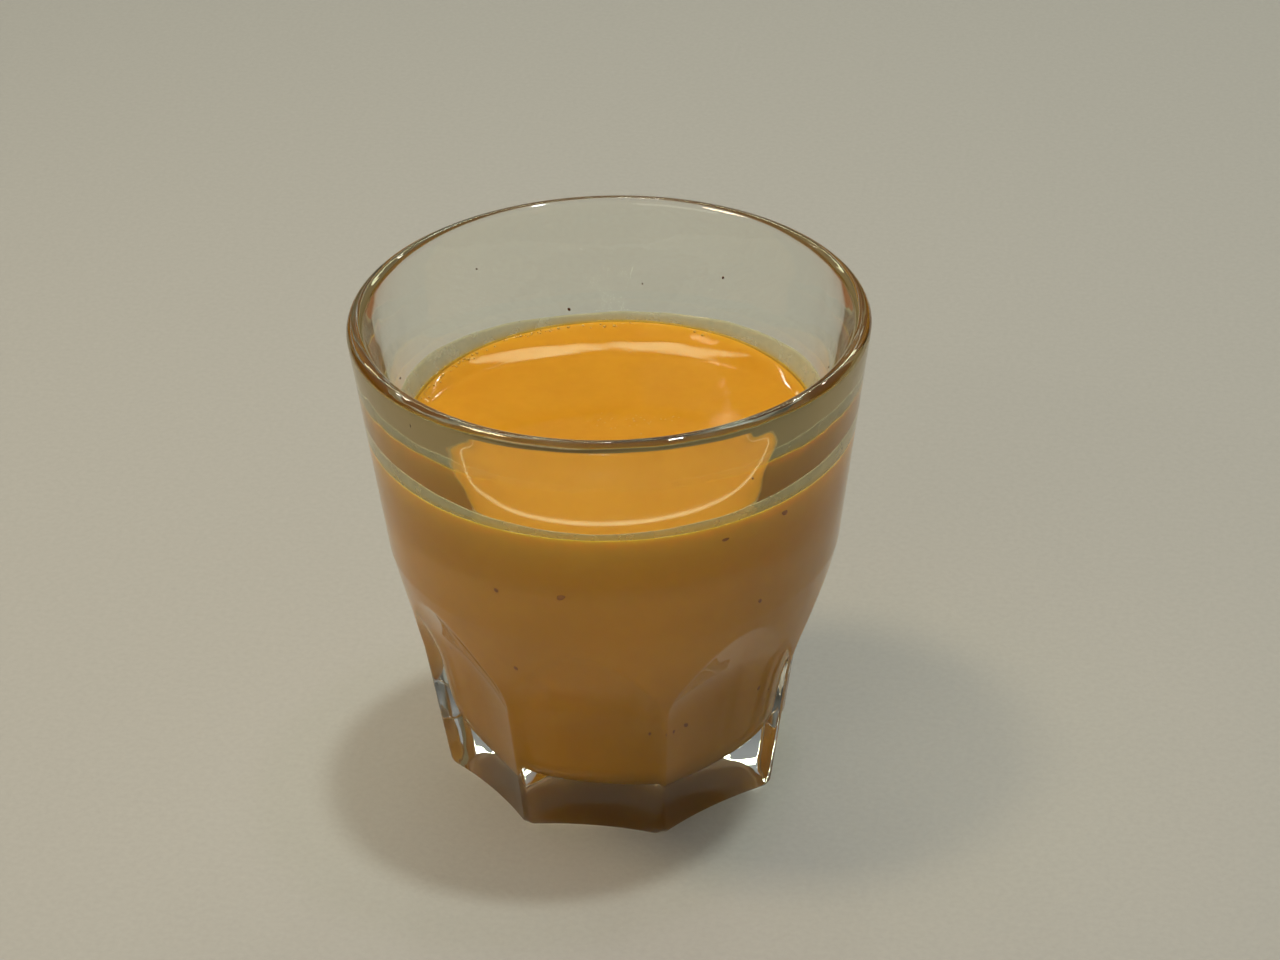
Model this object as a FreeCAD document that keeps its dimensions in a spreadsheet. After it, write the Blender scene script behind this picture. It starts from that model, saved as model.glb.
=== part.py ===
import FreeCAD, Part
import math
import os
import Sketcher

# A heavy pressed-glass tumbler about two thirds full of mango lassi.
# The glass is one piece: a plain conical bowl over a thick octagonal foot, whose eight
# shallow concave flutes leave narrow ribs between them and run out in round arches
# under a shoulder.  The drink is one solid that fills the bowl up to its level and
# climbs the wall in a small meniscus.
# Origin: centre of the underside.  +Z up, millimetres.  One flute faces -Y.

SIZES = [
    # outside of the bowl
    ("glass_height", 83.5, "foot to top of rim"),
    ("rim_radius", 42.35, "outside of the glass at the rim"),
    ("shoulder_height", 43.9, "ring where the conical bowl breaks into the lower body"),
    ("shoulder_radius", 37.6, "outside of the glass at the shoulder"),
    ("shoulder_round", 1.2, "softening of the shoulder ring"),
    # ribs and foot, measured over the ribs
    ("knee_height", 24.5, "where the ribs end and the arches part"),
    ("knee_radius", 33.2, "over the ribs at the knee"),
    ("heel_height", 4.0, "where the foot turns upright"),
    ("heel_radius", 30.2, "over the ribs at the heel"),
    ("foot_bevel_height", 0.8, "small bevel on the rib ends under the foot"),
    ("foot_bevel_width", 0.5, "how far that bevel goes in"),
    # flutes
    ("flute_count", 8.0, "flutes round the body"),
    ("flute_axis_distance", 88.0, "glass axis to the axis that each flute is turned about"),
    ("rib_land", 0.8, "flat crest left between two flutes"),
    ("arch_height", 41.4, "top of the arches"),
    ("arch_bend", 20.0, "radius in which a flute turns out towards its arch"),
    # inside of the bowl
    ("rim_wall", 2.9, "wall at the rim"),
    ("inner_shoulder_drop", 33.5, "rim down to where the inside changes its taper"),
    ("inner_shoulder_radius", 29.77, "inside of the bowl at that height"),
    ("inner_shoulder_round", 30.0, "arc that softens that change"),
    ("base_thickness", 6.2, "foot to the floor of the bowl"),
    ("bowl_floor_radius", 21.8, "inside of the bowl at its floor, before rounding"),
    ("bowl_floor_round", 6.5, "rounding of the bowl's floor"),
    # underside
    ("foot_ring", 0.7, "resting ring left at the middle of a flute"),
    ("punt_depth", 1.2, "depth of the hollow under the foot at its centre"),
    # drink
    ("drink_drop", 21.7, "rim down to the top of the drink away from the wall"),
    ("meniscus_rise", 1.5, "how far the drink climbs the wall"),
    ("meniscus_width", 6.0, "how far from the wall the climb starts"),
    # cutting tools
    ("overrun", 6.0, "how far a cutting profile passes the solid"),
]


# ---------------------------------------------------------------- document and sheet

doc = FreeCAD.newDocument("MangoLassi")
sheet = doc.addObject("Spreadsheet::Sheet", "Sizes")
for row, (alias, value, meaning) in enumerate(SIZES, start=1):
    sheet.set(f"A{row}", meaning)
    sheet.set(f"B{row}", str(value))
    sheet.setAlias(f"B{row}", alias)
doc.recompute()


def size(alias):
    """Expression text of one named size."""
    return f"Sizes.{alias}"


def value_of(expression):
    """Number that an expression stands for with the sheet as it is."""
    return float(sheet.evalExpression(expression))


# ---------------------------------------------------------------- places on the glass

def between(height, low, high):
    """Radius at a height on the straight line between two (radius, height) places."""
    low_radius, low_height = low
    high_radius, high_height = high
    rise = f"({height} - {low_height}) / ({high_height} - {low_height})"
    return f"({low_radius} + ({high_radius} - {low_radius}) * {rise})"


def flute_floor(rib_radius):
    """Radius of a flute's deepest line that leaves rib_land on a rib of rib_radius."""
    reach = size("flute_axis_distance")
    rib_angle = f"(180 / {size('flute_count')} - {size('rib_land')} / 2 / {rib_radius} * 180 / pi)"
    across = f"({reach} - {rib_radius} * cos({rib_angle}))"
    along = f"({rib_radius} * sin({rib_angle}))"
    return f"({reach} - sqrt({across} ^ 2 + {along} ^ 2))"


HEEL = (size("heel_radius"), size("heel_height"))
KNEE = (size("knee_radius"), size("knee_height"))
SHOULDER = (size("shoulder_radius"), size("shoulder_height"))
RIM = (size("rim_radius"), size("glass_height"))
FLOOR_MIDDLE = ("0", size("base_thickness"))
FLOOR_EDGE = (size("bowl_floor_radius"), size("base_thickness"))
INNER_SHOULDER = (
    size("inner_shoulder_radius"),
    f"({size('glass_height')} - {size('inner_shoulder_drop')})",
)
INNER_RIM = (f"({size('rim_radius')} - {size('rim_wall')})", size("glass_height"))
FLUTE_HEEL = (flute_floor(HEEL[0]), HEEL[1])
FLUTE_KNEE = (flute_floor(KNEE[0]), KNEE[1])
LEVEL = f"({size('glass_height')} - {size('drink_drop')})"
PUNT_EDGE = (f"({between('0', FLUTE_HEEL, FLUTE_KNEE)} - {size('foot_ring')})", "0")


# ---------------------------------------------------------------- sketch helpers

def new_body(name):
    body = doc.addObject("PartDesign::Body", name)
    body.Label = name
    return body


def new_sketch(body, name):
    """Sketch on the body's own XZ plane: across is radius, up is height."""
    sketch = body.newObject("Sketcher::SketchObject", name)
    plane = [item for item in body.Origin.OriginFeatures if item.Role == "XZ_Plane"][0]
    sketch.AttachmentSupport = [(plane, "")]
    sketch.MapMode = "FlatFace"
    return sketch


def point(place):
    radius, height = place
    return FreeCAD.Vector(value_of(radius), value_of(height), 0)


def add_line(sketch, start, end):
    return sketch.addGeometry(Part.LineSegment(start, end), False)


def pin(sketch, geometry, end, place):
    """Tie one end of a line or arc to a (radius, height) place from the sheet."""
    for kind, axis, expression in (("DistanceX", -2, place[0]), ("DistanceY", -1, place[1])):
        if expression == "0":
            sketch.addConstraint(Sketcher.Constraint("PointOnObject", geometry, end, axis))
            continue
        number = value_of(expression)
        tie = sketch.addConstraint(Sketcher.Constraint(kind, -1, 1, geometry, end, number))
        sketch.setExpression(f"Constraints[{tie}]", expression)


def join(sketch, first, first_end, second, second_end):
    sketch.addConstraint(Sketcher.Constraint("Coincident", first, first_end, second, second_end))


def draw_chain(sketch, places, first, last):
    """Straight lines from the end of one piece round through the places to another.

    first is the piece whose end 2 the chain leaves, and last the one whose end 1 it
    reaches; the places are all the chain's corners, both ends among them.
    """
    before = first
    for start, end in zip(places, places[1:]):
        line = add_line(sketch, point(start), point(end))
        if end is not places[-1]:
            pin(sketch, line, 2, end)
        join(sketch, before, 2, line, 1)
        before = line
    join(sketch, before, 2, last, 1)


def draw_bent_side(sketch, places, rounding):
    """Two straight runs through three (radius, height) places, with an arc between them.

    rounding is the arc's radius as an expression.  The ends and the corner come from the
    sheet, and the arc is tangent to both runs.  Returns run, arc and run in order.
    """
    foot, corner, crown = [point(place) for place in places]
    rise = (corner - foot).normalize()
    lean = (crown - corner).normalize()
    side = 1 if rise.cross(lean).z > 0 else -1
    radius = value_of(rounding)
    reach = radius * math.tan(rise.getAngle(lean) / 2)
    bend_low = corner - rise * reach
    bend_high = corner + lean * reach
    centre = bend_low + FreeCAD.Vector(-rise.y, rise.x, 0) * (side * radius)
    circle = Part.Circle(centre, FreeCAD.Vector(0, 0, 1), radius)
    turns = [circle.parameter(bend_low), circle.parameter(bend_high)][::side]
    low_end, high_end = [1, 2][::side]
    lower = add_line(sketch, foot, bend_low)
    bend = sketch.addGeometry(Part.ArcOfCircle(circle, turns[0], turns[1]), False)
    upper = add_line(sketch, bend_high, crown)
    pin(sketch, lower, 1, places[0])
    pin(sketch, upper, 2, places[2])
    sketch.addConstraint(Sketcher.Constraint("Tangent", bend, low_end, lower, 2))
    sketch.addConstraint(Sketcher.Constraint("Tangent", bend, high_end, upper, 1))
    tie = sketch.addConstraint(Sketcher.Constraint("Radius", bend, radius))
    sketch.setExpression(f"Constraints[{tie}]", rounding)
    mark = sketch.addGeometry(Part.Point(corner), True)
    pin(sketch, mark, 1, places[1])
    sketch.addConstraint(Sketcher.Constraint("PointOnObject", mark, 1, lower))
    sketch.addConstraint(Sketcher.Constraint("PointOnObject", mark, 1, upper))
    return lower, bend, upper


def turn(body, kind, name, sketch, axis="V_Axis"):
    """Full Revolution or Groove of a sketch."""
    feature = body.newObject(f"PartDesign::{kind}", name)
    feature.Profile = sketch
    feature.ReferenceAxis = (sketch, [axis])
    feature.Angle = 360
    doc.recompute()
    return feature


def ring_edges(shape, place):
    """Names of the circular edges round Z that pass through a (radius, height) place."""
    radius, height = value_of(place[0]), value_of(place[1])
    names = []
    for number, edge in enumerate(shape.Edges, start=1):
        if edge.Degenerated or not isinstance(edge.Curve, Part.Circle):
            continue
        centre = edge.Curve.Center
        off_axis = abs(centre.x) + abs(centre.y)
        off_place = abs(centre.z - height) + abs(edge.Curve.Radius - radius)
        if off_axis + off_place < 1e-4:
            names.append(f"Edge{number}")
    return names


def round_ring(body, name, place, radius):
    """Fillet the ring through a place on the body's latest feature."""
    base = body.Tip
    edges = ring_edges(base.Shape, place)
    if not edges:
        raise RuntimeError(f"{name}: no ring at {place}")
    fillet = body.newObject("PartDesign::Fillet", name)
    fillet.Base = (base, edges)
    fillet.setExpression("Radius", radius)
    doc.recompute()
    return fillet


# ---------------------------------------------------------------- the bowl's inside

def draw_bowl_side(sketch, top_height):
    """Inside of the bowl up to top_height, which the glass and the drink both use."""
    top = (between(top_height, INNER_SHOULDER, INNER_RIM), top_height)
    return draw_bent_side(sketch, [FLOOR_EDGE, INNER_SHOULDER, top], size("inner_shoulder_round"))


def draw_bowl_cut(sketch):
    """The bowl's inside, closed along the axis from its floor to above the rim."""
    mouth = f"({size('glass_height')} + {size('overrun')})"
    brim = (between(mouth, INNER_SHOULDER, INNER_RIM), mouth)
    lower, _, upper = draw_bowl_side(sketch, mouth)
    draw_chain(sketch, [brim, ("0", mouth), FLOOR_MIDDLE, FLOOR_EDGE], upper, lower)


# ---------------------------------------------------------------- tumbler

def draw_flute(sketch):
    """Section of the tool that leaves one flute when it is turned about its own axis.

    The flute's floor rises straight along the ribs, bends outwards at the knee and
    leaves the body in a straight run through the top of the arch.
    """
    below = f"(0 - {size('overrun')})"
    above = f"({size('shoulder_height')} + {size('overrun')})"
    floor_start = (between(below, FLUTE_HEEL, FLUTE_KNEE), below)
    arch_top = (between(size("arch_height"), KNEE, SHOULDER), size("arch_height"))
    axis_low = (size("flute_axis_distance"), below)
    axis_high = (size("flute_axis_distance"), above)

    floor = add_line(sketch, point(floor_start), point(FLUTE_KNEE))
    pin(sketch, floor, 1, floor_start)
    pin(sketch, floor, 2, FLUTE_KNEE)

    # Rough first place of the bend, a little above the knee; its ties then move it.
    bend_radius = value_of(size("arch_bend"))
    centre = point(FLUTE_KNEE) + FreeCAD.Vector(bend_radius, 0, 0)
    circle = Part.Circle(centre, FreeCAD.Vector(0, 0, 1), bend_radius)
    bend = sketch.addGeometry(Part.ArcOfCircle(circle, 2.7, 3.1), False)
    run_start = circle.value(2.7)
    run_end = point(arch_top) + (point(arch_top) - run_start) * 0.6
    run = add_line(sketch, run_start, run_end)
    sketch.addConstraint(Sketcher.Constraint("Tangent", bend, 2, floor, 2))
    sketch.addConstraint(Sketcher.Constraint("Tangent", bend, 1, run, 1))
    tie = sketch.addConstraint(Sketcher.Constraint("Radius", bend, bend_radius))
    sketch.setExpression(f"Constraints[{tie}]", size("arch_bend"))
    mark = sketch.addGeometry(Part.Point(point(arch_top)), True)
    pin(sketch, mark, 1, arch_top)
    sketch.addConstraint(Sketcher.Constraint("PointOnObject", mark, 1, run))

    top = add_line(sketch, run_end, point(axis_high))
    back = add_line(sketch, point(axis_high), point(axis_low))
    bottom = add_line(sketch, point(axis_low), point(floor_start))
    pin(sketch, top, 2, axis_high)
    pin(sketch, back, 2, axis_low)
    sketch.addConstraint(Sketcher.Constraint("Horizontal", top))
    join(sketch, run, 2, top, 1)
    join(sketch, top, 2, back, 1)
    join(sketch, back, 2, bottom, 1)
    join(sketch, bottom, 2, floor, 1)

    axis = sketch.addGeometry(Part.LineSegment(point(axis_low), point(axis_high)), True)
    join(sketch, axis, 1, back, 2)
    join(sketch, axis, 2, back, 1)


def draw_punt(sketch):
    """Shallow domed hollow under the foot, closed well below the table."""
    crown = ("0", size("punt_depth"))
    below = f"(0 - {size('overrun')})"
    middle = FreeCAD.Vector(value_of(PUNT_EDGE[0]) * 0.5, value_of(crown[1]) * 0.75, 0)
    dome_curve = Part.Arc(point(PUNT_EDGE), middle, point(crown))
    dome = sketch.addGeometry(dome_curve, False)
    pin(sketch, dome, 1, PUNT_EDGE)
    pin(sketch, dome, 2, crown)
    sketch.addConstraint(Sketcher.Constraint("PointOnObject", dome, 3, -2))
    down = add_line(sketch, point(crown), point(("0", below)))
    across = add_line(sketch, point(("0", below)), point((PUNT_EDGE[0], below)))
    up = add_line(sketch, point((PUNT_EDGE[0], below)), point(PUNT_EDGE))
    join(sketch, dome, 2, down, 1)
    join(sketch, down, 2, across, 1)
    join(sketch, across, 2, up, 1)
    join(sketch, up, 2, dome, 1)
    pin(sketch, down, 2, ("0", below))
    pin(sketch, across, 2, (PUNT_EDGE[0], below))


def build_tumbler():
    body = new_body("tumbler")

    blank = new_sketch(body, "BlankProfile")
    bevel_top = (between(size("foot_bevel_height"), HEEL, KNEE), size("foot_bevel_height"))
    bevel_foot = (f"({bevel_top[0]} - {size('foot_bevel_width')})", "0")
    lower, _, upper = draw_bent_side(blank, [KNEE, SHOULDER, RIM], size("shoulder_round"))
    top_middle = ("0", size("glass_height"))
    draw_chain(blank, [RIM, top_middle, ("0", "0"), bevel_foot, bevel_top, KNEE], upper, lower)
    turn(body, "Revolution", "Blank", blank)

    flute = new_sketch(body, "FluteProfile")
    draw_flute(flute)
    cut = turn(body, "Groove", "Flute", flute, "Axis0")
    ring = body.newObject("PartDesign::PolarPattern", "FluteRing")
    ring.Originals = [cut]
    axis = [item for item in body.Origin.OriginFeatures if item.Role == "Z_Axis"][0]
    ring.Axis = (axis, [""])
    ring.Angle = 360
    ring.setExpression("Occurrences", size("flute_count"))
    body.Tip = ring
    doc.recompute()

    bowl = new_sketch(body, "BowlProfile")
    draw_bowl_cut(bowl)
    turn(body, "Groove", "Bowl", bowl)
    round_ring(body, "BowlFloorRound", FLOOR_EDGE, size("bowl_floor_round"))

    punt = new_sketch(body, "PuntProfile")
    draw_punt(punt)
    turn(body, "Groove", "Punt", punt)

    rim_round = f"{size('rim_wall')} * 0.48"
    round_ring(body, "RimRoundOutside", RIM, rim_round)
    round_ring(body, "RimRoundInside", INNER_RIM, rim_round)
    return body


# ---------------------------------------------------------------- lassi

def build_lassi():
    """The drink: the bowl's inside up to the level, with a hollow edge up the wall."""
    body = new_body("lassi")
    contact_height = f"({LEVEL} + {size('meniscus_rise')})"
    contact = (between(contact_height, INNER_SHOULDER, INNER_RIM), contact_height)
    level_edge = (f"({contact[0]} - {size('meniscus_width')})", LEVEL)
    level_middle = ("0", LEVEL)

    profile = new_sketch(body, "DrinkProfile")
    lower, _, upper = draw_bowl_side(profile, contact_height)
    level = add_line(profile, point(level_edge), point(level_middle))
    pin(profile, level, 1, level_edge)
    pin(profile, level, 2, level_middle)
    draw_chain(profile, [level_middle, FLOOR_MIDDLE, FLOOR_EDGE], level, lower)

    # The meniscus leaves the level flat and steepens up to the wall.
    rise, width = value_of(size("meniscus_rise")), value_of(size("meniscus_width"))
    bow = FreeCAD.Vector(width * 0.6, rise * 0.3, 0)
    curve = Part.Arc(point(level_edge), point(level_edge) + bow, point(contact))
    meniscus = profile.addGeometry(curve, False)
    profile.addConstraint(Sketcher.Constraint("Tangent", meniscus, 1, level, 1))
    join(profile, meniscus, 2, upper, 2)

    turn(body, "Revolution", "Drink", profile)
    round_ring(body, "DrinkFloorRound", FLOOR_EDGE, size("bowl_floor_round"))
    return body


# ---------------------------------------------------------------- build, check and write

bodies = [build_tumbler(), build_lassi()]
doc.recompute()

for item in doc.Objects:
    if "Invalid" in item.State or "Error" in item.State:
        raise RuntimeError(f"{item.Name} failed: {item.State}")

os.makedirs("parts", exist_ok=True)
for body in bodies:
    shape = body.Shape
    if shape.isNull() or not shape.isValid() or len(shape.Solids) != 1:
        raise RuntimeError(f"{body.Label} is not one valid solid")
    shape.exportStep(f"parts/{body.Label}.step")
    box = shape.BoundBox
    print(f"{body.Label}: {shape.Volume:.1f} mm3, {len(shape.Faces)} faces, z from {box.ZMin:.2f}")
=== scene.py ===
import math

import bpy
import numpy as np
from mathutils import Matrix, Vector


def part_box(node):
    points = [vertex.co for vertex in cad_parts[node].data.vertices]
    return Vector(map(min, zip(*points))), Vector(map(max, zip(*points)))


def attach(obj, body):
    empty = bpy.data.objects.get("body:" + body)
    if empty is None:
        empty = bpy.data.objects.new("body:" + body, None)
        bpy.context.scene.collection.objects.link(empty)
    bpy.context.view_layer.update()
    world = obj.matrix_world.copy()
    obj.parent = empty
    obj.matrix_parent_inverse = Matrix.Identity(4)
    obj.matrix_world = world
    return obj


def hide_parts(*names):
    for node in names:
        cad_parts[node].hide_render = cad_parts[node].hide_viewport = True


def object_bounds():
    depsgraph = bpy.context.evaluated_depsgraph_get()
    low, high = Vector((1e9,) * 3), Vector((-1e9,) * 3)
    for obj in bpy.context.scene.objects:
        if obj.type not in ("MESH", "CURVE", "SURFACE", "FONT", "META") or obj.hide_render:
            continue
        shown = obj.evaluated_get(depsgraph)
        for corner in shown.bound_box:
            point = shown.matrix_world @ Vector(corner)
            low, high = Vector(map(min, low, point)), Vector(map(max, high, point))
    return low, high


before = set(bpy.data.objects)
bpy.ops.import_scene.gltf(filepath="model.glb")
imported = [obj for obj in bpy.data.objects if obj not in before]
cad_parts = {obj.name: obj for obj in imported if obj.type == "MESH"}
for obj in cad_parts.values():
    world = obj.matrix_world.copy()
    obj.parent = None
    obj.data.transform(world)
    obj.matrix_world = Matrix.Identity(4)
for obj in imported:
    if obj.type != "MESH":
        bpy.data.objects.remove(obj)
cad_low, cad_high = [list(map(float, corner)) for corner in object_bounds()]
scene = bpy.context.scene
scene.view_settings.view_transform = "Standard"


# ---------------------------------------------------------------- the view
# The glass is seen from standing height beside the table, a little to the right of the
# middle of one flute, through a long lens that leans by about one degree.

MM = 0.001
aim_point = Vector((0.0, 0.0, cad_high[2] - 0.5 * MM))

view_side = math.radians(9.2)
view_down = math.radians(31.62)
view_lean = math.radians(-1.19)
view_distance = 0.5347
view_offset = Vector((-0.0050, -0.0267))
lens_to_sensor = 2.6016
sensor_width = 36.0

ahead = Vector((0.0, math.cos(view_down), -math.sin(view_down)))
right = Vector((1.0, 0.0, 0.0))
down = Vector((0.0, -math.sin(view_down), -math.cos(view_down)))
right_leant = math.cos(view_lean) * right - math.sin(view_lean) * down
down_leant = math.sin(view_lean) * right + math.cos(view_lean) * down
round_the_glass = Matrix.Rotation(view_side, 3, "Z")

camera_data = bpy.data.cameras.new("view")
camera_data.sensor_width = sensor_width
camera_data.lens = sensor_width * lens_to_sensor
camera_data.clip_start = 0.01
camera = bpy.data.objects.new("view", camera_data)
scene.collection.objects.link(camera)
scene.camera = camera
eye = aim_point + round_the_glass @ (
    -view_offset.x * right_leant - view_offset.y * down_leant - view_distance * ahead
)
axes = [round_the_glass @ axis for axis in (right_leant, -down_leant, -ahead)]
camera.matrix_world = Matrix.Translation(eye) @ Matrix(axes).transposed().to_4x4()


# ---------------------------------------------------------------- tumbler
# One piece of soda-lime glass, pressed in a mould and fire-polished: a plain conical
# bowl over a thick eight-sided foot.  Eight shallow flutes run up from the foot and end
# in round arches under the shoulder ring, with a narrow rib between each two.

glass_height = float(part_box("tumbler")[1][2])
rim_radius = 42.35 * MM
rim_wall = 2.9 * MM
shoulder = (37.6 * MM, 43.9 * MM)
knee = (33.2 * MM, 24.5 * MM)
heel = (30.2 * MM, 4.0 * MM)
bevel_height = 0.8 * MM
bevel_width = 0.5 * MM
foot_edge_round = 0.35 * MM
flute_count = 8
flute_reach = 88.0 * MM
rib_land = 0.8 * MM
arch_height = 41.4 * MM
arch_bend = 20.0 * MM
fire_polish = 0.10 * MM
knee_softness = 0.04 * MM
shoulder_softness = 0.03 * MM
bevel_softness = 0.25 * MM
inner_shoulder = (29.77 * MM, 50.0 * MM)
inner_shoulder_round = 30.0 * MM
base_thickness = float(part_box("lassi")[0][2])
bowl_floor_radius = 21.8 * MM
bowl_floor_round = 6.5 * MM
punt_radius = 25.83 * MM
punt_depth = 1.2 * MM
bend_steps = 12
rim_steps = 16


def line_through(height, low, high):
    """Radius at a height on the straight line through two (radius, height) places."""
    return low[0] + (high[0] - low[0]) * (height - low[1]) / (high[1] - low[1])


def soft_min(a, b, width):
    """Smaller of a and b; within width of each other they meet in a parabola."""
    share = np.clip(0.5 + 0.5 * (b - a) / width, 0.0, 1.0)
    return b + (a - b) * share - width * share * (1.0 - share)


def rib_radius(height):
    """Radius over the ribs: the lowest of the foot's bevel, the tapered body and the bowl.

    The body is two cones that meet at the knee, the lower one steeper.
    """
    foot = line_through(height, heel, knee)
    body = line_through(height, knee, shoulder)
    bowl = line_through(height, shoulder, (rim_radius, glass_height))
    bevel_top = line_through(bevel_height, heel, knee)
    bevel = bevel_top + (height - bevel_height) * bevel_width / bevel_height
    tapered = -soft_min(-foot, -body, knee_softness)
    return soft_min(bevel, soft_min(tapered, bowl, shoulder_softness), bevel_softness)


def flute_floor_at(rib):
    """Floor radius that leaves the rib's crest rib_land wide: the flute is a circle about
    an upright axis at flute_reach, and it passes through the crest's two edges."""
    edge_turn = math.pi / flute_count - rib_land / (2.0 * rib)
    across = flute_reach - rib * math.cos(edge_turn)
    return flute_reach - math.hypot(across, rib * math.sin(edge_turn))


def flute_floor(height):
    """Radius of a flute's deepest line: straight up to the knee, then an arc of arch_bend
    tangent to it, then the tangent from that arc through the top of the arch."""
    low = (flute_floor_at(heel[0]), heel[1])
    bend = (flute_floor_at(knee[0]), knee[1])
    lean = math.atan2(bend[0] - low[0], bend[1] - low[1])
    middle = (bend[0] + arch_bend * math.cos(lean), bend[1] - arch_bend * math.sin(lean))
    top = (line_through(arch_height, knee, shoulder), arch_height)
    away = math.hypot(top[0] - middle[0], top[1] - middle[1])
    turn = math.atan2(top[1] - middle[1], top[0] - middle[0]) + math.acos(arch_bend / away)
    leave = (middle[0] + arch_bend * math.cos(turn), middle[1] + arch_bend * math.sin(turn))
    straight = line_through(height, low, bend)
    inside = np.maximum(arch_bend**2 - (height - middle[1]) ** 2, 0.0)
    arc = middle[0] - np.sqrt(inside)
    run = line_through(height, leave, top)
    return np.where(height < bend[1], straight, np.where(height < leave[1], arc, run))


def outside_radius(turn, height):
    """Outside of the glass at a turn from the middle of the nearest flute.

    The smaller of the rib surface and the flute, which is a circle about an axis that
    stands flute_reach out, met with the softness that fire polishing leaves.
    """
    hollow = flute_reach - flute_floor(height)
    sideways = flute_reach * np.sin(turn)
    flute = flute_reach * np.cos(turn) - np.sqrt(np.maximum(hollow**2 - sideways**2, 0.0))
    return soft_min(rib_radius(height), flute, fire_polish)


def rounded_path(corners, roundings, steps):
    """Profile through (radius, height) corners, each inner one rounded by a tangent arc.

    The arc's ends lie rounding * tan(half the turn) from the corner on each side, and its
    points divide the turn evenly.
    """
    path = [np.array([corners[0]])]
    for before, corner, after, rounding in zip(corners, corners[1:], corners[2:], roundings):
        arriving = np.subtract(corner, before) / np.linalg.norm(np.subtract(corner, before))
        leaving = np.subtract(after, corner) / np.linalg.norm(np.subtract(after, corner))
        start_turn = math.atan2(arriving[1], arriving[0])
        cross = arriving[0] * leaving[1] - arriving[1] * leaving[0]
        full_turn = math.asin(max(-1.0, min(1.0, cross)))
        side = math.copysign(1.0, full_turn)
        start = np.array(corner) - arriving * rounding * math.tan(abs(full_turn) / 2.0)
        centre = start + rounding * side * np.array([-arriving[1], arriving[0]])
        turns = start_turn + np.linspace(0.0, full_turn, steps)
        arc = centre + rounding * side * np.stack([np.sin(turns), -np.cos(turns)], axis=1)
        path.append(arc)
    path.append(np.array([corners[-1]]))
    return np.concatenate(path)


def filled_in(path, gap):
    """The same profile with extra points, so that no two neighbours are over gap apart."""
    pieces = [path[:1]]
    for start, end in zip(path, path[1:]):
        count = max(1, math.ceil(np.linalg.norm(end - start) / gap))
        pieces.append(start + (end - start) * np.linspace(0.0, 1.0, count + 1)[1:, None])
    return np.concatenate(pieces)


def bowl_path():
    """Inside of the bowl from the middle of its floor up to its tangent with the rim."""
    corners = [(0.0, base_thickness), (bowl_floor_radius, base_thickness), inner_shoulder]
    corners.append(rim_meets_inside)
    return rounded_path(corners, [bowl_floor_round, inner_shoulder_round], bend_steps)


def bowl_radius(height):
    """Radius of the bowl's inside at a height."""
    radii, heights = bowl_path().T
    return np.interp(height, heights, radii)


def places_at(radius, around, height):
    """Places a radius away from the glass's axis, at a turn round it and at a height."""
    return np.stack([radius * np.cos(around), radius * np.sin(around), height], axis=-1)


outer_slope = (rim_radius - shoulder[0]) / (glass_height - shoulder[1])
inner_slope = (rim_radius - rim_wall - inner_shoulder[0]) / (glass_height - inner_shoulder[1])
rim_round = rim_wall / 2.0
rim_centre = (
    rim_radius - outer_slope * rim_round - rim_round * math.hypot(1.0, outer_slope),
    glass_height - rim_round,
)
rim_turns = np.linspace(-math.atan(outer_slope), math.pi - math.atan(inner_slope), rim_steps)
rim_radii = rim_centre[0] + rim_round * np.cos(rim_turns)
rim_heights = rim_centre[1] + rim_round * np.sin(rim_turns)
rim_meets_inside = (rim_radii[-1], rim_heights[-1])


def turned_mesh(name, places, low_pole=None, high_pole=None):
    """Mesh of a (rows, columns, 3) array of places that closes round its columns.

    Each pole is one vertex joined to the first or last row by a fan of triangles, and with
    no pole the last row joins the first, as on a ring.
    """
    rows, columns = places.shape[:2]
    vertices = places.reshape(-1, 3)
    here = np.arange(rows * columns).reshape(rows, columns)
    beside = np.roll(here, -1, axis=1)
    ring = low_pole is None and high_pole is None
    count = rows if ring else rows - 1
    above, above_beside = np.roll(here, -1, axis=0), np.roll(beside, -1, axis=0)
    quads = np.stack([here, beside, above_beside, above], axis=-1)[:count].reshape(-1, 4)
    fans = []
    for pole, row, turned in ((low_pole, 0, True), (high_pole, -1, False)):
        if pole is None:
            continue
        tip = np.full(columns, len(vertices))
        vertices = np.concatenate([vertices, [pole]])
        pair = (beside[row], here[row]) if turned else (here[row], beside[row])
        fans.append(np.stack([pair[0], pair[1], tip], axis=-1))
    mesh = bpy.data.meshes.new(name)
    faces = [row.tolist() for row in [quads] + fans]
    mesh.from_pydata(vertices.tolist(), [], sum(faces, []))
    mesh.shade_smooth()
    mesh.update()
    return mesh


def add_piece(name, mesh, material):
    """Put a finished mesh into the scene as a piece that rides with the glass."""
    piece = bpy.data.objects.new(name, mesh)
    scene.collection.objects.link(piece)
    mesh.materials.append(material)
    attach(piece, "root")
    return piece


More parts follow.
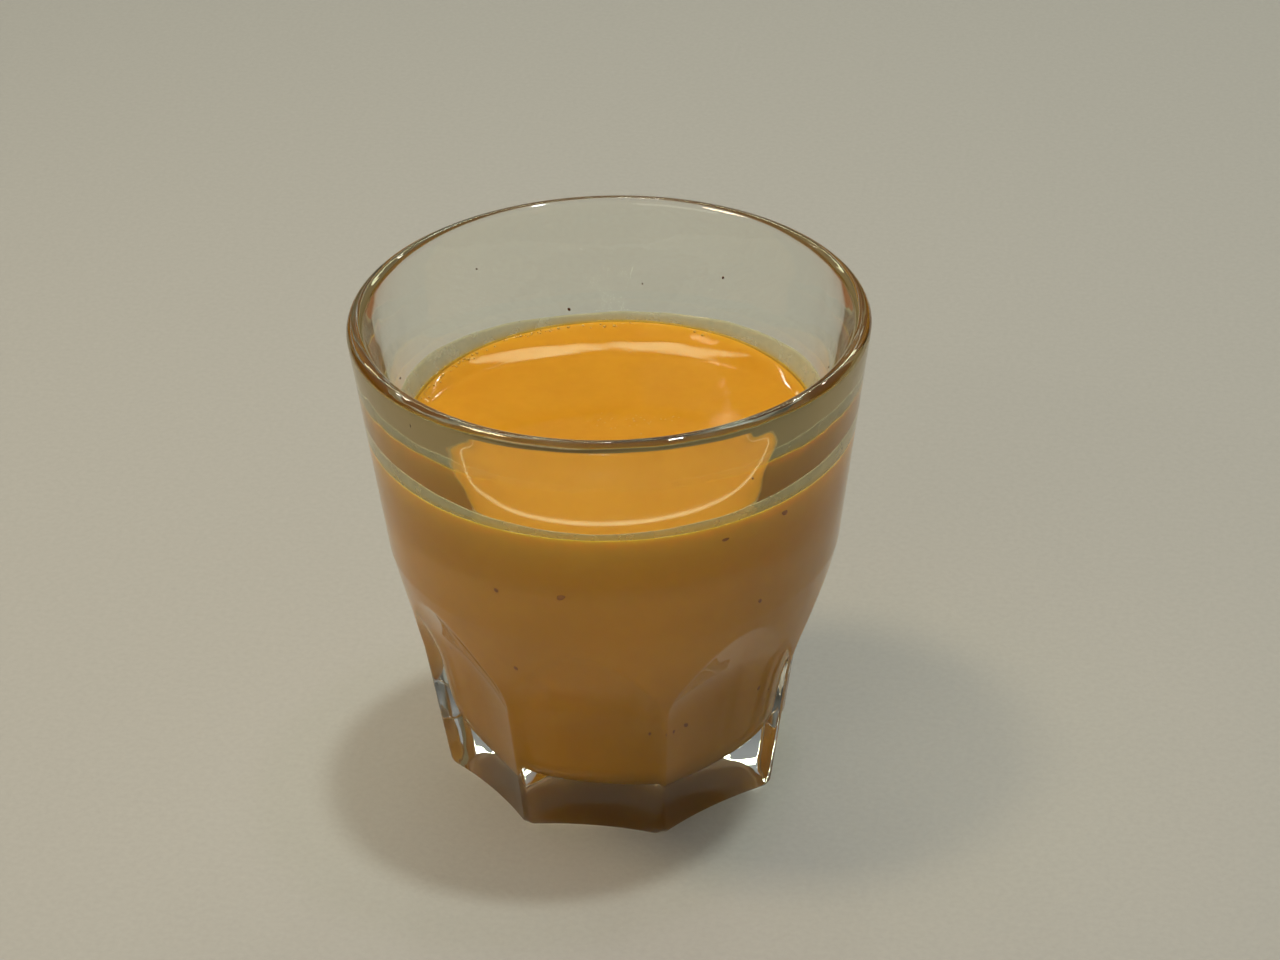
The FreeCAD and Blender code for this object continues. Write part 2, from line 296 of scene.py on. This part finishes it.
def tumbler_places():
    """Rows from the middle of the underside, out over the foot, up the outside, over the
    rim and down the inside; columns are closest beside the ribs."""
    half_columns = 24
    steps = np.arange(-half_columns, half_columns) / half_columns
    turn = math.pi / flute_count * np.sign(steps) * (1.0 - (1.0 - np.abs(steps)) ** 1.5)
    turn = np.tile(turn, flute_count)
    flute_middles = np.repeat(np.arange(flute_count), 2 * half_columns) * math.tau / flute_count
    around = flute_middles + turn - math.pi / 2.0

    edge_turn = np.linspace(0.0, math.pi / 2.0, 7)[1:]
    steps_up = [foot_edge_round * (1.0 - np.cos(edge_turn))]
    for stop, count in (
        (bevel_height + 0.3 * MM, 6),
        (knee[1] - 1.0 * MM, 15),
        (arch_height + 0.8 * MM, 65),
        (shoulder[1] - 0.5 * MM, 3),
        (shoulder[1] + 0.5 * MM, 7),
        (rim_heights[0], 11),
    ):
        steps_up.append(np.linspace(steps_up[-1][-1], stop, count + 1)[1:])
    heights = np.concatenate(steps_up)[:-1]
    inset = foot_edge_round - np.sqrt(
        foot_edge_round**2 - np.clip(foot_edge_round - heights, 0.0, None) ** 2
    )
    outside = outside_radius(turn[None, :], heights[:, None]) - inset[:, None]

    foot_rim = outside_radius(turn, 0.0) - foot_edge_round
    punt_share = np.linspace(0.0, 1.0, 9)[1:]
    flat_share = np.linspace(0.0, 1.0, 6)[1:]
    inside = filled_in(bowl_path(), 5.0 * MM)[::-1][1:-1]
    level = np.zeros(turn.size)
    rows = [
        (punt_radius * punt_share[:, None] + level, punt_depth * (1.0 - punt_share**2)),
        (punt_radius + (foot_rim - punt_radius) * flat_share[:, None], 0.0 * flat_share),
        (outside, heights),
        (rim_radii[:, None] + level, rim_heights),
        (inside[:, :1] + level, inside[:, 1]),
    ]
    radius = np.concatenate([part for part, _ in rows])
    height = np.concatenate([part for _, part in rows])[:, None] + 0.0 * radius
    return places_at(radius, around, height)


def start_material(name):
    """A new material, with its nodes and its links."""
    material = bpy.data.materials.new(name)
    material.use_nodes = True
    return material, material.node_tree.nodes, material.node_tree.links


def object_noise(nodes, links, scale, detail=2.0):
    """Noise that is fixed to the piece; scale counts its waves in a metre."""
    where = nodes.new("ShaderNodeTexCoord")
    noise = nodes.new("ShaderNodeTexNoise")
    noise.inputs["Scale"].default_value = scale
    noise.inputs["Detail"].default_value = detail
    links.new(where.outputs["Object"], noise.inputs["Vector"])
    return noise


def object_height(nodes, links):
    """Height above the table, as an output."""
    where = nodes.new("ShaderNodeTexCoord")
    place = nodes.new("ShaderNodeSeparateXYZ")
    links.new(where.outputs["Object"], place.inputs["Vector"])
    return place.outputs["Z"]


def remapped(nodes, links, value, low, high, new_low=0.0, new_high=1.0):
    """An output that runs from new_low to new_high as value goes from low to high."""
    remap = nodes.new("ShaderNodeMapRange")
    remap.inputs["From Min"].default_value = low
    remap.inputs["From Max"].default_value = high
    remap.inputs["To Min"].default_value = new_low
    remap.inputs["To Max"].default_value = new_high
    links.new(value, remap.inputs["Value"])
    return remap.outputs["Result"]


def blended(nodes, links, share, first, second):
    """A colour output that runs from first to second as share goes from 0 to 1."""
    mix = nodes.new("ShaderNodeMix")
    mix.data_type = "RGBA"
    mix.inputs["A"].default_value = (*first, 1.0)
    mix.inputs["B"].default_value = (*second, 1.0)
    links.new(share, mix.inputs["Factor"])
    return mix.outputs["Result"]


def bumped(nodes, links, height, strength, distance):
    """A normal output for a surface raised by a height output."""
    bump = nodes.new("ShaderNodeBump")
    bump.inputs["Strength"].default_value = strength
    bump.inputs["Distance"].default_value = distance
    links.new(height, bump.inputs["Height"])
    return bump.outputs["Normal"]


def pressed_glass():
    """Clear soda-lime glass with a breath of green and faint waves from the mould.

    Light that has been thrown back inside it more than twice leaves through a painted tint:
    painted amber shade in the bowl for the dark of many reflections between drink and glass,
    and painted light in the foot, which it makes paler. A shadow ray passes with almost no loss.
    """
    material, nodes, links = start_material("pressed_glass")
    glass = nodes["Principled BSDF"]
    glass.inputs["Base Color"].default_value = (0.93, 0.972, 0.942, 1.0)
    glass.inputs["Roughness"].default_value = 0.0
    glass.inputs["IOR"].default_value = 1.5
    glass.inputs["Transmission Weight"].default_value = 1.0
    ripples = object_noise(nodes, links, 110.0, 1.0).outputs["Fac"]
    links.new(bumped(nodes, links, ripples, 0.5, 0.25 * MM), glass.inputs["Normal"])

    rays = nodes.new("ShaderNodeLightPath")
    deep = nodes.new("ShaderNodeMath")
    deep.operation = "GREATER_THAN"
    deep.inputs[1].default_value = 2.5
    links.new(rays.outputs["Glossy Depth"], deep.inputs[0])
    # Painted shade and light: deep paths turn amber in the bowl and pale in the foot.
    height = object_height(nodes, links)
    above_foot = remapped(nodes, links, height, 9.0 * MM, 17.0 * MM)
    painted_deep_tint = blended(nodes, links, above_foot, (0.95, 0.93, 0.84), (0.43, 0.32, 0.14))
    shade_tint = nodes.new("ShaderNodeRGB")
    shade_tint.outputs["Color"].default_value = (0.93, 0.95, 0.93, 1.0)
    shader = glass.outputs["BSDF"]
    for wanted, tint in (
        (deep.outputs["Value"], painted_deep_tint),
        (rays.outputs["Is Shadow Ray"], shade_tint.outputs["Color"]),
    ):
        clear = nodes.new("ShaderNodeBsdfTransparent")
        links.new(tint, clear.inputs["Color"])
        mix = nodes.new("ShaderNodeMixShader")
        links.new(wanted, mix.inputs["Fac"])
        links.new(shader, mix.inputs[1])
        links.new(clear.outputs["BSDF"], mix.inputs[2])
        shader = mix.outputs["Shader"]
    links.new(shader, nodes["Material Output"].inputs["Surface"])
    return material


tumbler_mesh = turned_mesh(
    "tumbler_glass", tumbler_places(), (0.0, 0.0, punt_depth), (0.0, 0.0, base_thickness)
)
tumbler = add_piece("tumbler_glass", tumbler_mesh, pressed_glass())
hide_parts("tumbler")


# ---------------------------------------------------------------- lassi
# Thick blended mango and yoghurt, poured to about two thirds of the glass.  Its surface is
# level in the middle, leans up gently towards the wall and climbs the last of it steeply.

film_top = float(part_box("lassi")[1][2])
film_rise = 1.5 * MM
film_reach = 0.6 * MM
easing_width = 4.6 * MM
back_lean = 0.172
side_lean = 0.573
front_lean = 0.300
back_ramp_rise = 1.25 * MM
front_ramp_rise = 0.87 * MM
skin_middle = (2.6 * MM, 1.6 * MM)
skin_half = (8.5 * MM, 2.2 * MM)
fold_height = 0.012 * MM
drink_level = film_top - film_rise
into_wall = 0.12 * MM


def towards_view(around):
    """Cosine and sine of the turn from the side of the glass that faces the viewer."""
    turn = around + math.pi / 2.0 - view_side
    return np.cos(turn), np.sin(turn)


def drink_surface(radius, around, wall):
    """Height of the drink's top above the table.

    Past the radius where it starts to lean it rises as a softened ramp, which eases to
    half its slope after easing_width, and beside the wall it adds what is left of
    film_rise as a decaying power.  It leans least at the back, where it also starts
    furthest in, and most at the sides.  Two crossed waves wrinkle the patch of skin.
    """
    front, side = towards_view(around)
    near = np.clip(front, 0.0, 1.0)
    behind = back_lean / np.clip(-front, 0.3, 1.0)
    lean = np.where(front < 0.0, behind, side_lean + (front_lean - side_lean) * front)
    ramp_rise = back_ramp_rise + (front_ramp_rise - back_ramp_rise) * near
    reach_in = np.maximum(ramp_rise / lean, 2.0 * ramp_rise / lean - easing_width)
    start = wall - reach_in + 0.2 * MM * np.sin(3.0 * around + 0.7)
    blend = (0.35 + 0.55 * near) * MM

    def ramp_to(place):
        """How far the ramp has risen at a radius."""
        risen = np.logaddexp(0.0, (place - start) / blend)
        eased = np.logaddexp(0.0, (place - start - easing_width) / blend)
        return lean * blend * (risen - 0.5 * eased)

    ramp = ramp_to(radius)
    ramp_at_wall = ramp_to(wall)
    climb = (film_rise - ramp_at_wall) * np.exp(-(wall - radius) / film_reach)
    across, along = radius * side, -radius * front
    skin_across = (across - skin_middle[0]) / skin_half[0]
    skin_along = (along - skin_middle[1] + 0.004 * across) / skin_half[1]
    skin = np.exp(-(skin_across**4) - skin_along**2)
    folds = np.sin(across / (0.42 * MM) + 2.0 * np.sin(along / (0.7 * MM)))
    folds += 0.8 * np.sin(across / (0.29 * MM) - along / (0.5 * MM) + 1.0)
    return drink_level + ramp + climb + fold_height * skin * folds


def lassi_places():
    """Rows from the middle of the bowl's floor out and up the wall, then in over the top.

    The side is the bowl's own, moved into the wall by into_wall, and the rows over the top
    are closest together beside the wall.
    """
    columns = 400
    top_rows = 173
    around = np.linspace(0.0, math.tau, columns, endpoint=False)
    side = filled_in(bowl_path(), 2.0 * MM)
    film_radius = np.interp(film_top, side[:, 1], side[:, 0])
    side = side[(side[:, 1] < film_top - 0.4 * MM) & (side[:, 0] > 0.0)]
    close = np.linspace(side[-1, 1], film_top, 8)[1:]
    near = np.stack([bowl_radius(close), close], axis=1)
    side = np.concatenate([side, near])
    along = np.gradient(side, axis=0)
    outward = np.stack([along[:, 1], -along[:, 0]], axis=1)
    outward /= np.linalg.norm(outward, axis=1)[:, None]
    side = side + outward * into_wall
    side[-1, 1] = film_top

    share = np.linspace(0.0, 1.0, top_rows + 2)[1:-1]
    top_radius = film_radius * (1.0 - share**1.25)
    heights = drink_surface(top_radius[:, None], around[None, :], film_radius)
    radius = np.concatenate([side[:, :1] + 0.0 * around, top_radius[:, None] + 0.0 * around])
    height = np.concatenate([side[:, 1:] + 0.0 * around, heights + 0.0 * around])
    return places_at(radius, around, height)


def painted_edge_glow(places):
    """How near a place is to the drink's edge, where a paler yellow is painted as light: 1 at
    the edge, falling as a decaying power of the distance along the surface, slower down the
    side than in over the top."""
    radius = np.hypot(places[..., 0], places[..., 1])
    edge_radius = float(radius[places[..., 2] >= film_top - 0.01 * MM].max())
    over_the_top = np.exp(-np.clip(edge_radius - radius, 0.0, None) / (0.8 * MM))
    down_the_side = np.exp(-np.clip(film_top - places[..., 2], 0.0, None) / (2.8 * MM))
    return np.where(places[..., 2] > drink_level - 0.5 * MM, over_the_top, 1.0) * down_the_side


def mango_lassi():
    """Opaque orange-yellow drink, faintly mottled by pulp; yellower at its edge, partly as the
    drink is thin there and partly as painted light for the glow of light entering its top.
    """
    material, nodes, links = start_material("mango_lassi")
    drink = nodes["Principled BSDF"]
    drink.inputs["Roughness"].default_value = 0.07
    drink.inputs["IOR"].default_value = 1.36
    drink.inputs["Subsurface Weight"].default_value = 0.35
    drink.inputs["Subsurface Radius"].default_value = (1.0, 0.5, 0.12)
    drink.inputs["Subsurface Scale"].default_value = 3.5 * MM
    pulp = object_noise(nodes, links, 420.0, 5.0)
    pulp.inputs["Roughness"].default_value = 0.6
    swirl = object_noise(nodes, links, 60.0)
    swirl.inputs["Distortion"].default_value = 1.2
    both = nodes.new("ShaderNodeMath")
    both.operation = "ADD"
    links.new(pulp.outputs["Fac"], both.inputs[0])
    links.new(swirl.outputs["Fac"], both.inputs[1])
    mottle = remapped(nodes, links, both.outputs["Value"], 0.75, 1.25)
    body = blended(nodes, links, mottle, (0.505, 0.213, 0.005), (0.54, 0.236, 0.007))
    # Painted light: a paler yellow near the top edge for the glow of light entering the top.
    painted_glow = nodes.new("ShaderNodeAttribute")
    painted_glow.attribute_name = "painted_edge_glow"
    colour = nodes.new("ShaderNodeMix")
    colour.data_type = "RGBA"
    colour.inputs["B"].default_value = (0.74, 0.43, 0.04, 1.0)
    links.new(painted_glow.outputs["Fac"], colour.inputs["Factor"])
    links.new(body, colour.inputs["A"])
    links.new(colour.outputs["Result"], drink.inputs["Base Color"])
    return material


drink_places = lassi_places()
lassi_mesh = turned_mesh(
    "lassi_drink", drink_places, (0.0, 0.0, base_thickness - into_wall), (0.0, 0.0, drink_level)
)
# Where the painted edge glow falls, kept on the drink's mesh.
edge_values = np.zeros(len(lassi_mesh.vertices))
edge_values[: drink_places[..., 0].size] = painted_edge_glow(drink_places).ravel()
edge_layer = lassi_mesh.attributes.new("painted_edge_glow", "FLOAT", "POINT")
edge_layer.data.foreach_set("value", edge_values)
lassi = add_piece("lassi_drink", lassi_mesh, mango_lassi())
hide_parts("lassi")


# ---------------------------------------------------------------- wet film on the wall
# A grey-yellow film that the drink left on the inside of the glass when it was carried:
# lowest at the front and back, highest at the sides, and thinnest at its top edge.

film_thick = 0.35 * MM
film_thin = 0.05 * MM
film_height = 65.95 * MM
film_swing = 1.3 * MM
film_raggedness = 0.09 * MM


def film_edge(around):
    """Height of the film's top: two slow waves round the glass and finer unevenness."""
    front, side = towards_view(around)
    swing = front**2 - side**2
    ragged = np.sin(5.0 * around + 1.0) + 0.6 * np.sin(11.0 * around + 2.0)
    ragged += 0.4 * np.sin(23.0 * around + 0.4)
    return film_height - film_swing * swing + film_raggedness * ragged


def film_places():
    """A closed ring: up the wall from inside the drink's edge, and back down its face.

    The face stands off the wall by film_thick at the foot, falling to film_thin at the top
    in proportion to the square root of the height left.
    """
    columns = 384
    around = np.linspace(0.0, math.tau, columns, endpoint=False)
    foot = film_top - 0.25 * MM
    climb = np.linspace(0.0, 1.0, 9)[:, None]
    height = foot + climb * (film_edge(around) - foot)
    wall = bowl_radius(height)
    stand_off = film_thin + (film_thick - film_thin) * np.sqrt(1.0 - climb)
    outer = wall + 0.5 * into_wall
    inner = (wall - stand_off)[::-1]
    radius = np.concatenate([outer, inner])
    heights = np.concatenate([height, height[::-1] - 0.02 * MM * climb[::-1]])
    return places_at(radius, around, heights)


def wet_film():
    """Thin wet drink: a pale greyed yellow that lets part of what is behind it through."""
    material, nodes, links = start_material("wet_film")
    film = nodes["Principled BSDF"]
    film.inputs["Roughness"].default_value = 0.12
    film.inputs["IOR"].default_value = 1.36
    height = object_height(nodes, links)
    fade = remapped(nodes, links, height, film_top - 0.2 * MM, film_top + 1.2 * MM)
    colour = blended(nodes, links, fade, (0.55, 0.40, 0.08), (0.52, 0.49, 0.27))
    links.new(colour, film.inputs["Base Color"])
    streaks = object_noise(nodes, links, 300.0, 4.0).outputs["Fac"]
    links.new(remapped(nodes, links, streaks, 0.35, 0.65, 0.42, 0.56), film.inputs["Alpha"])
    return material


film_mesh = turned_mesh("lassi_film", film_places())
add_piece("lassi_film", film_mesh, wet_film())


# ---------------------------------------------------------------- pulp and crumbs
# Dark flecks of mango fibre and spice: some pressed against the inside of the glass below
# the drink's edge, and a few dried on the wall above it.


def beads_mesh(name, centres, axes, frames):
    """One joined mesh of closed ellipsoids.

    Each bead is a unit ball of rings and columns, stretched by its axes, turned by its
    frame, whose columns are the ball's three directions, and moved to its centre.
    """
    rings, columns = 5, 10
    tilt = np.linspace(0.0, math.pi, rings + 2)[1:-1, None]
    around = np.linspace(0.0, math.tau, columns, endpoint=False)
    ball = places_at(np.sin(tilt), around, np.cos(tilt) + 0.0 * around).reshape(-1, 3)
    ball = np.concatenate([ball, [(0.0, 0.0, 1.0), (0.0, 0.0, -1.0)]])
    places = centres[:, None] + np.einsum("nij,nvj->nvi", frames, ball[None] * axes[:, None])
    here = np.arange(rings * columns).reshape(rings, columns)
    beside = np.roll(here, -1, axis=1)
    quads = np.stack([here[:-1], here[1:], beside[1:], beside[:-1]], axis=-1).reshape(-1, 4)
    poles = np.full(columns, rings * columns)
    top = np.stack([poles, here[0], beside[0]], axis=-1)
    bottom = np.stack([poles + 1, beside[-1], here[-1]], axis=-1)
    first = np.arange(len(centres))[:, None, None] * len(ball)
    faces = [(part + first).reshape(-1, part.shape[1]).tolist() for part in (quads, top, bottom)]
    mesh = bpy.data.meshes.new(name)
    mesh.from_pydata(places.reshape(-1, 3).tolist(), [], sum(faces, []))
    mesh.shade_smooth()
    mesh.update()
    return mesh


def on_the_wall(degrees, heights, sizes, depth, stand_off):
    """Centres, axes and frames of flat flecks on the inside of the glass.

    degrees are counted from the side that faces the viewer, positive to the right, and
    each fleck lies flat on the wall, turned in its plane by a share of its own angle.
    """
    around = np.radians(degrees) - math.pi / 2.0 + view_side
    centres = places_at(bowl_radius(heights) + stand_off, around, heights)
    out = places_at(1.0, around, 0.0 * around)
    along = places_at(1.0, around + math.pi / 2.0, 0.0 * around)
    up = np.broadcast_to([0.0, 0.0, 1.0], out.shape)
    spin = (around * 7.0)[:, None]
    long_way = np.cos(spin) * along + np.sin(spin) * up
    short_way = np.cos(spin) * up - np.sin(spin) * along
    frames = np.stack([long_way, short_way, out], axis=-1)
    axes = np.stack([sizes, sizes * 0.65, np.full(len(sizes), depth)], axis=-1)
    return centres, axes, frames


def dark_fleck(name, tone):
    """Damp fibre or spice, darker in places."""
    material, nodes, links = start_material(name)
    fleck = nodes["Principled BSDF"]
    fleck.inputs["Roughness"].default_value = 0.7
    fleck.inputs["Specular IOR Level"].default_value = 0.1
    patches = object_noise(nodes, links, 1500.0).outputs["Fac"]
    darker, paler = [[share * part for part in tone] for share in (0.5, 1.5)]
    links.new(blended(nodes, links, patches, darker, paler), fleck.inputs["Base Color"])
    return material


flecks = np.random.default_rng(11)
fleck_degrees = [-34.0, -14.5, 48.0, 29.6, -32.0, 21.5, 45.0, 15.0]
fleck_heights = [49.7, 50.9, 60.9, 60.1, 33.8, 20.0, 43.8, 19.7]
fleck_sizes = [0.55, 0.85, 0.80, 0.60, 0.50, 0.62, 0.50, 0.42]
fleck_depth = 0.09 * MM
further = 26
fleck_degrees = np.append(fleck_degrees, flecks.uniform(55.0, 305.0, further))
fleck_heights = np.append(fleck_heights, flecks.uniform(14.0, 61.0, further)) * MM
fleck_sizes = np.append(fleck_sizes, flecks.uniform(0.25, 0.75, further)) * MM
pulp_mesh = beads_mesh(
    "pulp_flecks",
    *on_the_wall(fleck_degrees, fleck_heights, fleck_sizes, fleck_depth, 1.1 * into_wall),
)
add_piece("pulp_flecks", pulp_mesh, dark_fleck("mango_fibre", (0.27, 0.095, 0.012)))

crumb_degrees = np.array([-168.0, 148.0, -143.0, -100.0, 171.0, 95.0, -60.0, 35.0])
crumb_heights = np.array([65.6, 72.6, 75.8, 68.4, 69.5, 70.5, 70.0, 71.0]) * MM
crumb_sizes = np.array([0.36, 0.30, 0.22, 0.26, 0.16, 0.20, 0.18, 0.15]) * MM
crumb_depth = 0.1 * MM
crumb_mesh = beads_mesh(
    "wall_crumbs",
    *on_the_wall(crumb_degrees, crumb_heights, crumb_sizes, crumb_depth, -0.4 * crumb_depth),
)
add_piece("wall_crumbs", crumb_mesh, dark_fleck("dried_spice", (0.090, 0.035, 0.014)))


# ---------------------------------------------------------------- bubbles
# Small bubbles that blending left: most cling to the foot of the wet film on the left and
# at the back, and a few sit on the wrinkled patch of skin.

bubbles = np.random.default_rng(5)
edge_count, skin_count = 110, 34
large_ones = [-167.0, -164.0, -178.0, 179.0, 154.0, 151.0, -152.0, -136.0, -132.0]
edge_turns = np.radians(bubbles.normal(-118.0, 34.0, edge_count))
edge_turns[: len(large_ones)] = np.radians(large_ones)
edge_sizes = bubbles.uniform(0.07, 0.24, edge_count) * MM
edge_sizes[: len(large_ones)] = 0.30 * MM
wall_radius = float(bowl_radius(film_top))
edge_inset = edge_sizes + bubbles.gamma(1.2, 0.35, edge_count) * MM
edge_radius = wall_radius - film_thick - edge_inset
skin_x = bubbles.normal(2.6, 4.2, skin_count) * MM
skin_y = bubbles.normal(1.8, 1.4, skin_count) * MM
skin_sizes = bubbles.uniform(0.06, 0.16, skin_count) * MM
bubble_radius = np.append(edge_radius, np.hypot(skin_x, skin_y))
bubble_turn = np.append(edge_turns, np.arctan2(skin_x, -skin_y)) - math.pi / 2.0 + view_side
bubble_sizes = np.append(edge_sizes, skin_sizes)
bubble_height = drink_surface(bubble_radius, bubble_turn, wall_radius)
bubble_centres = places_at(bubble_radius, bubble_turn, bubble_height)
bubble_axes = bubble_sizes[:, None] * np.array([1.0, 1.0, 0.85])
upright = np.broadcast_to(np.eye(3), (len(bubble_sizes), 3, 3))


def bubble_skin():
    """A stretched skin of drink, paler and glossier than the rest."""
    material, nodes, links = start_material("bubble_skin")
    skin = nodes["Principled BSDF"]
    skin.inputs["Roughness"].default_value = 0.05
    patches = object_noise(nodes, links, 900.0).outputs["Fac"]
    colour = blended(nodes, links, patches, (0.56, 0.30, 0.03), (0.64, 0.42, 0.11))
    links.new(colour, skin.inputs["Base Color"])
    return material


bubble_mesh = beads_mesh("lassi_bubbles", bubble_centres, bubble_axes, upright)
add_piece("lassi_bubbles", bubble_mesh, bubble_skin())


# ---------------------------------------------------------------- table and light
# A pale matt table top in plain light: a small warm lamp on the left, a lamp high over the
# back right, a broad fill from the front left, a long strip behind that draws the drink's
# long highlights, and four small ceiling lamps for its glints.


def matt_table():
    """Pale grey-beige table top with a fine matt grain."""
    material, nodes, links = start_material("table_top")
    table = nodes["Principled BSDF"]
    table.inputs["Roughness"].default_value = 0.6
    grain = object_noise(nodes, links, 900.0, 3.0).outputs["Fac"]
    colour = blended(nodes, links, grain, (0.345, 0.330, 0.295), (0.405, 0.390, 0.350))
    links.new(colour, table.inputs["Base Color"])
    links.new(bumped(nodes, links, grain, 0.25, 0.2 * MM), table.inputs["Normal"])
    return material


floor_half = 1.6
floor_drop = 0.2 * MM
floor_mesh = bpy.data.meshes.new("table_top")
floor_corners = [(-floor_half, -floor_half, 0.0), (floor_half, -floor_half, 0.0)]
floor_corners += [(floor_half, floor_half, 0.0), (-floor_half, floor_half, 0.0)]
floor_mesh.from_pydata(floor_corners, [], [(0, 1, 2, 3)])
floor_mesh.materials.append(matt_table())
floor = bpy.data.objects.new("table_top", floor_mesh)
floor.location.z = -floor_drop
scene.collection.objects.link(floor)


def room_light():
    """Pale light from above that falls off towards the horizon."""
    world = bpy.data.worlds.new("room")
    world.use_nodes = True
    nodes, links = world.node_tree.nodes, world.node_tree.links
    where = nodes.new("ShaderNodeTexCoord")
    height = nodes.new("ShaderNodeSeparateXYZ")
    links.new(where.outputs["Generated"], height.inputs["Vector"])
    ramp = nodes.new("ShaderNodeValToRGB")
    ramp.color_ramp.elements[0].position = 0.10
    ramp.color_ramp.elements[0].color = (0.035, 0.032, 0.024, 1.0)
    ramp.color_ramp.elements[1].position = 0.62
    ramp.color_ramp.elements[1].color = (0.30, 0.31, 0.31, 1.0)
    links.new(height.outputs["Z"], ramp.inputs["Fac"])
    links.new(ramp.outputs["Color"], nodes["Background"].inputs["Color"])
    return world


scene.world = room_light()


def soft_lamp(name, across, up, distance, width, height, watts, tint):
    """Rectangular lamp aimed at the drink; across and up are angles seen from the glass,
    across measured from straight behind it, positive to the right."""
    lamp = bpy.data.lights.new(name, "AREA")
    lamp.shape = "RECTANGLE"
    lamp.size = width
    lamp.size_y = height
    lamp.energy = watts
    lamp.color = tint
    holder = bpy.data.objects.new(name, lamp)
    scene.collection.objects.link(holder)
    bearing = math.radians(90.0 - across) + view_side
    rise = math.radians(up)
    level = math.cos(rise)
    place = Vector((math.cos(bearing) * level, math.sin(bearing) * level, math.sin(rise)))
    holder.location = Vector((0.0, 0.0, drink_level)) + place * distance
    holder.rotation_euler = (-place).to_track_quat("-Z", "Y").to_euler()


soft_lamp("lamp_left", -82.0, 64.0, 0.50, 0.09, 0.09, 1.05, (1.0, 0.78, 0.52))
soft_lamp("lamp_over", 52.0, 76.0, 1.1, 0.08, 0.08, 4.9, (0.95, 1.0, 1.0))
soft_lamp("strip", 0.0, 38.0, 1.3, 1.5, 0.062, 2.4, (0.94, 1.0, 0.66))
soft_lamp("fill", -145.0, 32.0, 1.5, 1.0, 0.5, 3.1, (1.0, 0.93, 0.80))
for number, (across, up) in enumerate([(-30.0, 44.0), (-3.0, 53.0), (17.0, 43.0), (34.0, 44.0)]):
    soft_lamp(f"ceiling_{number}", across, up, 1.2, 0.04, 0.04, 0.3, (1.0, 0.97, 0.88))
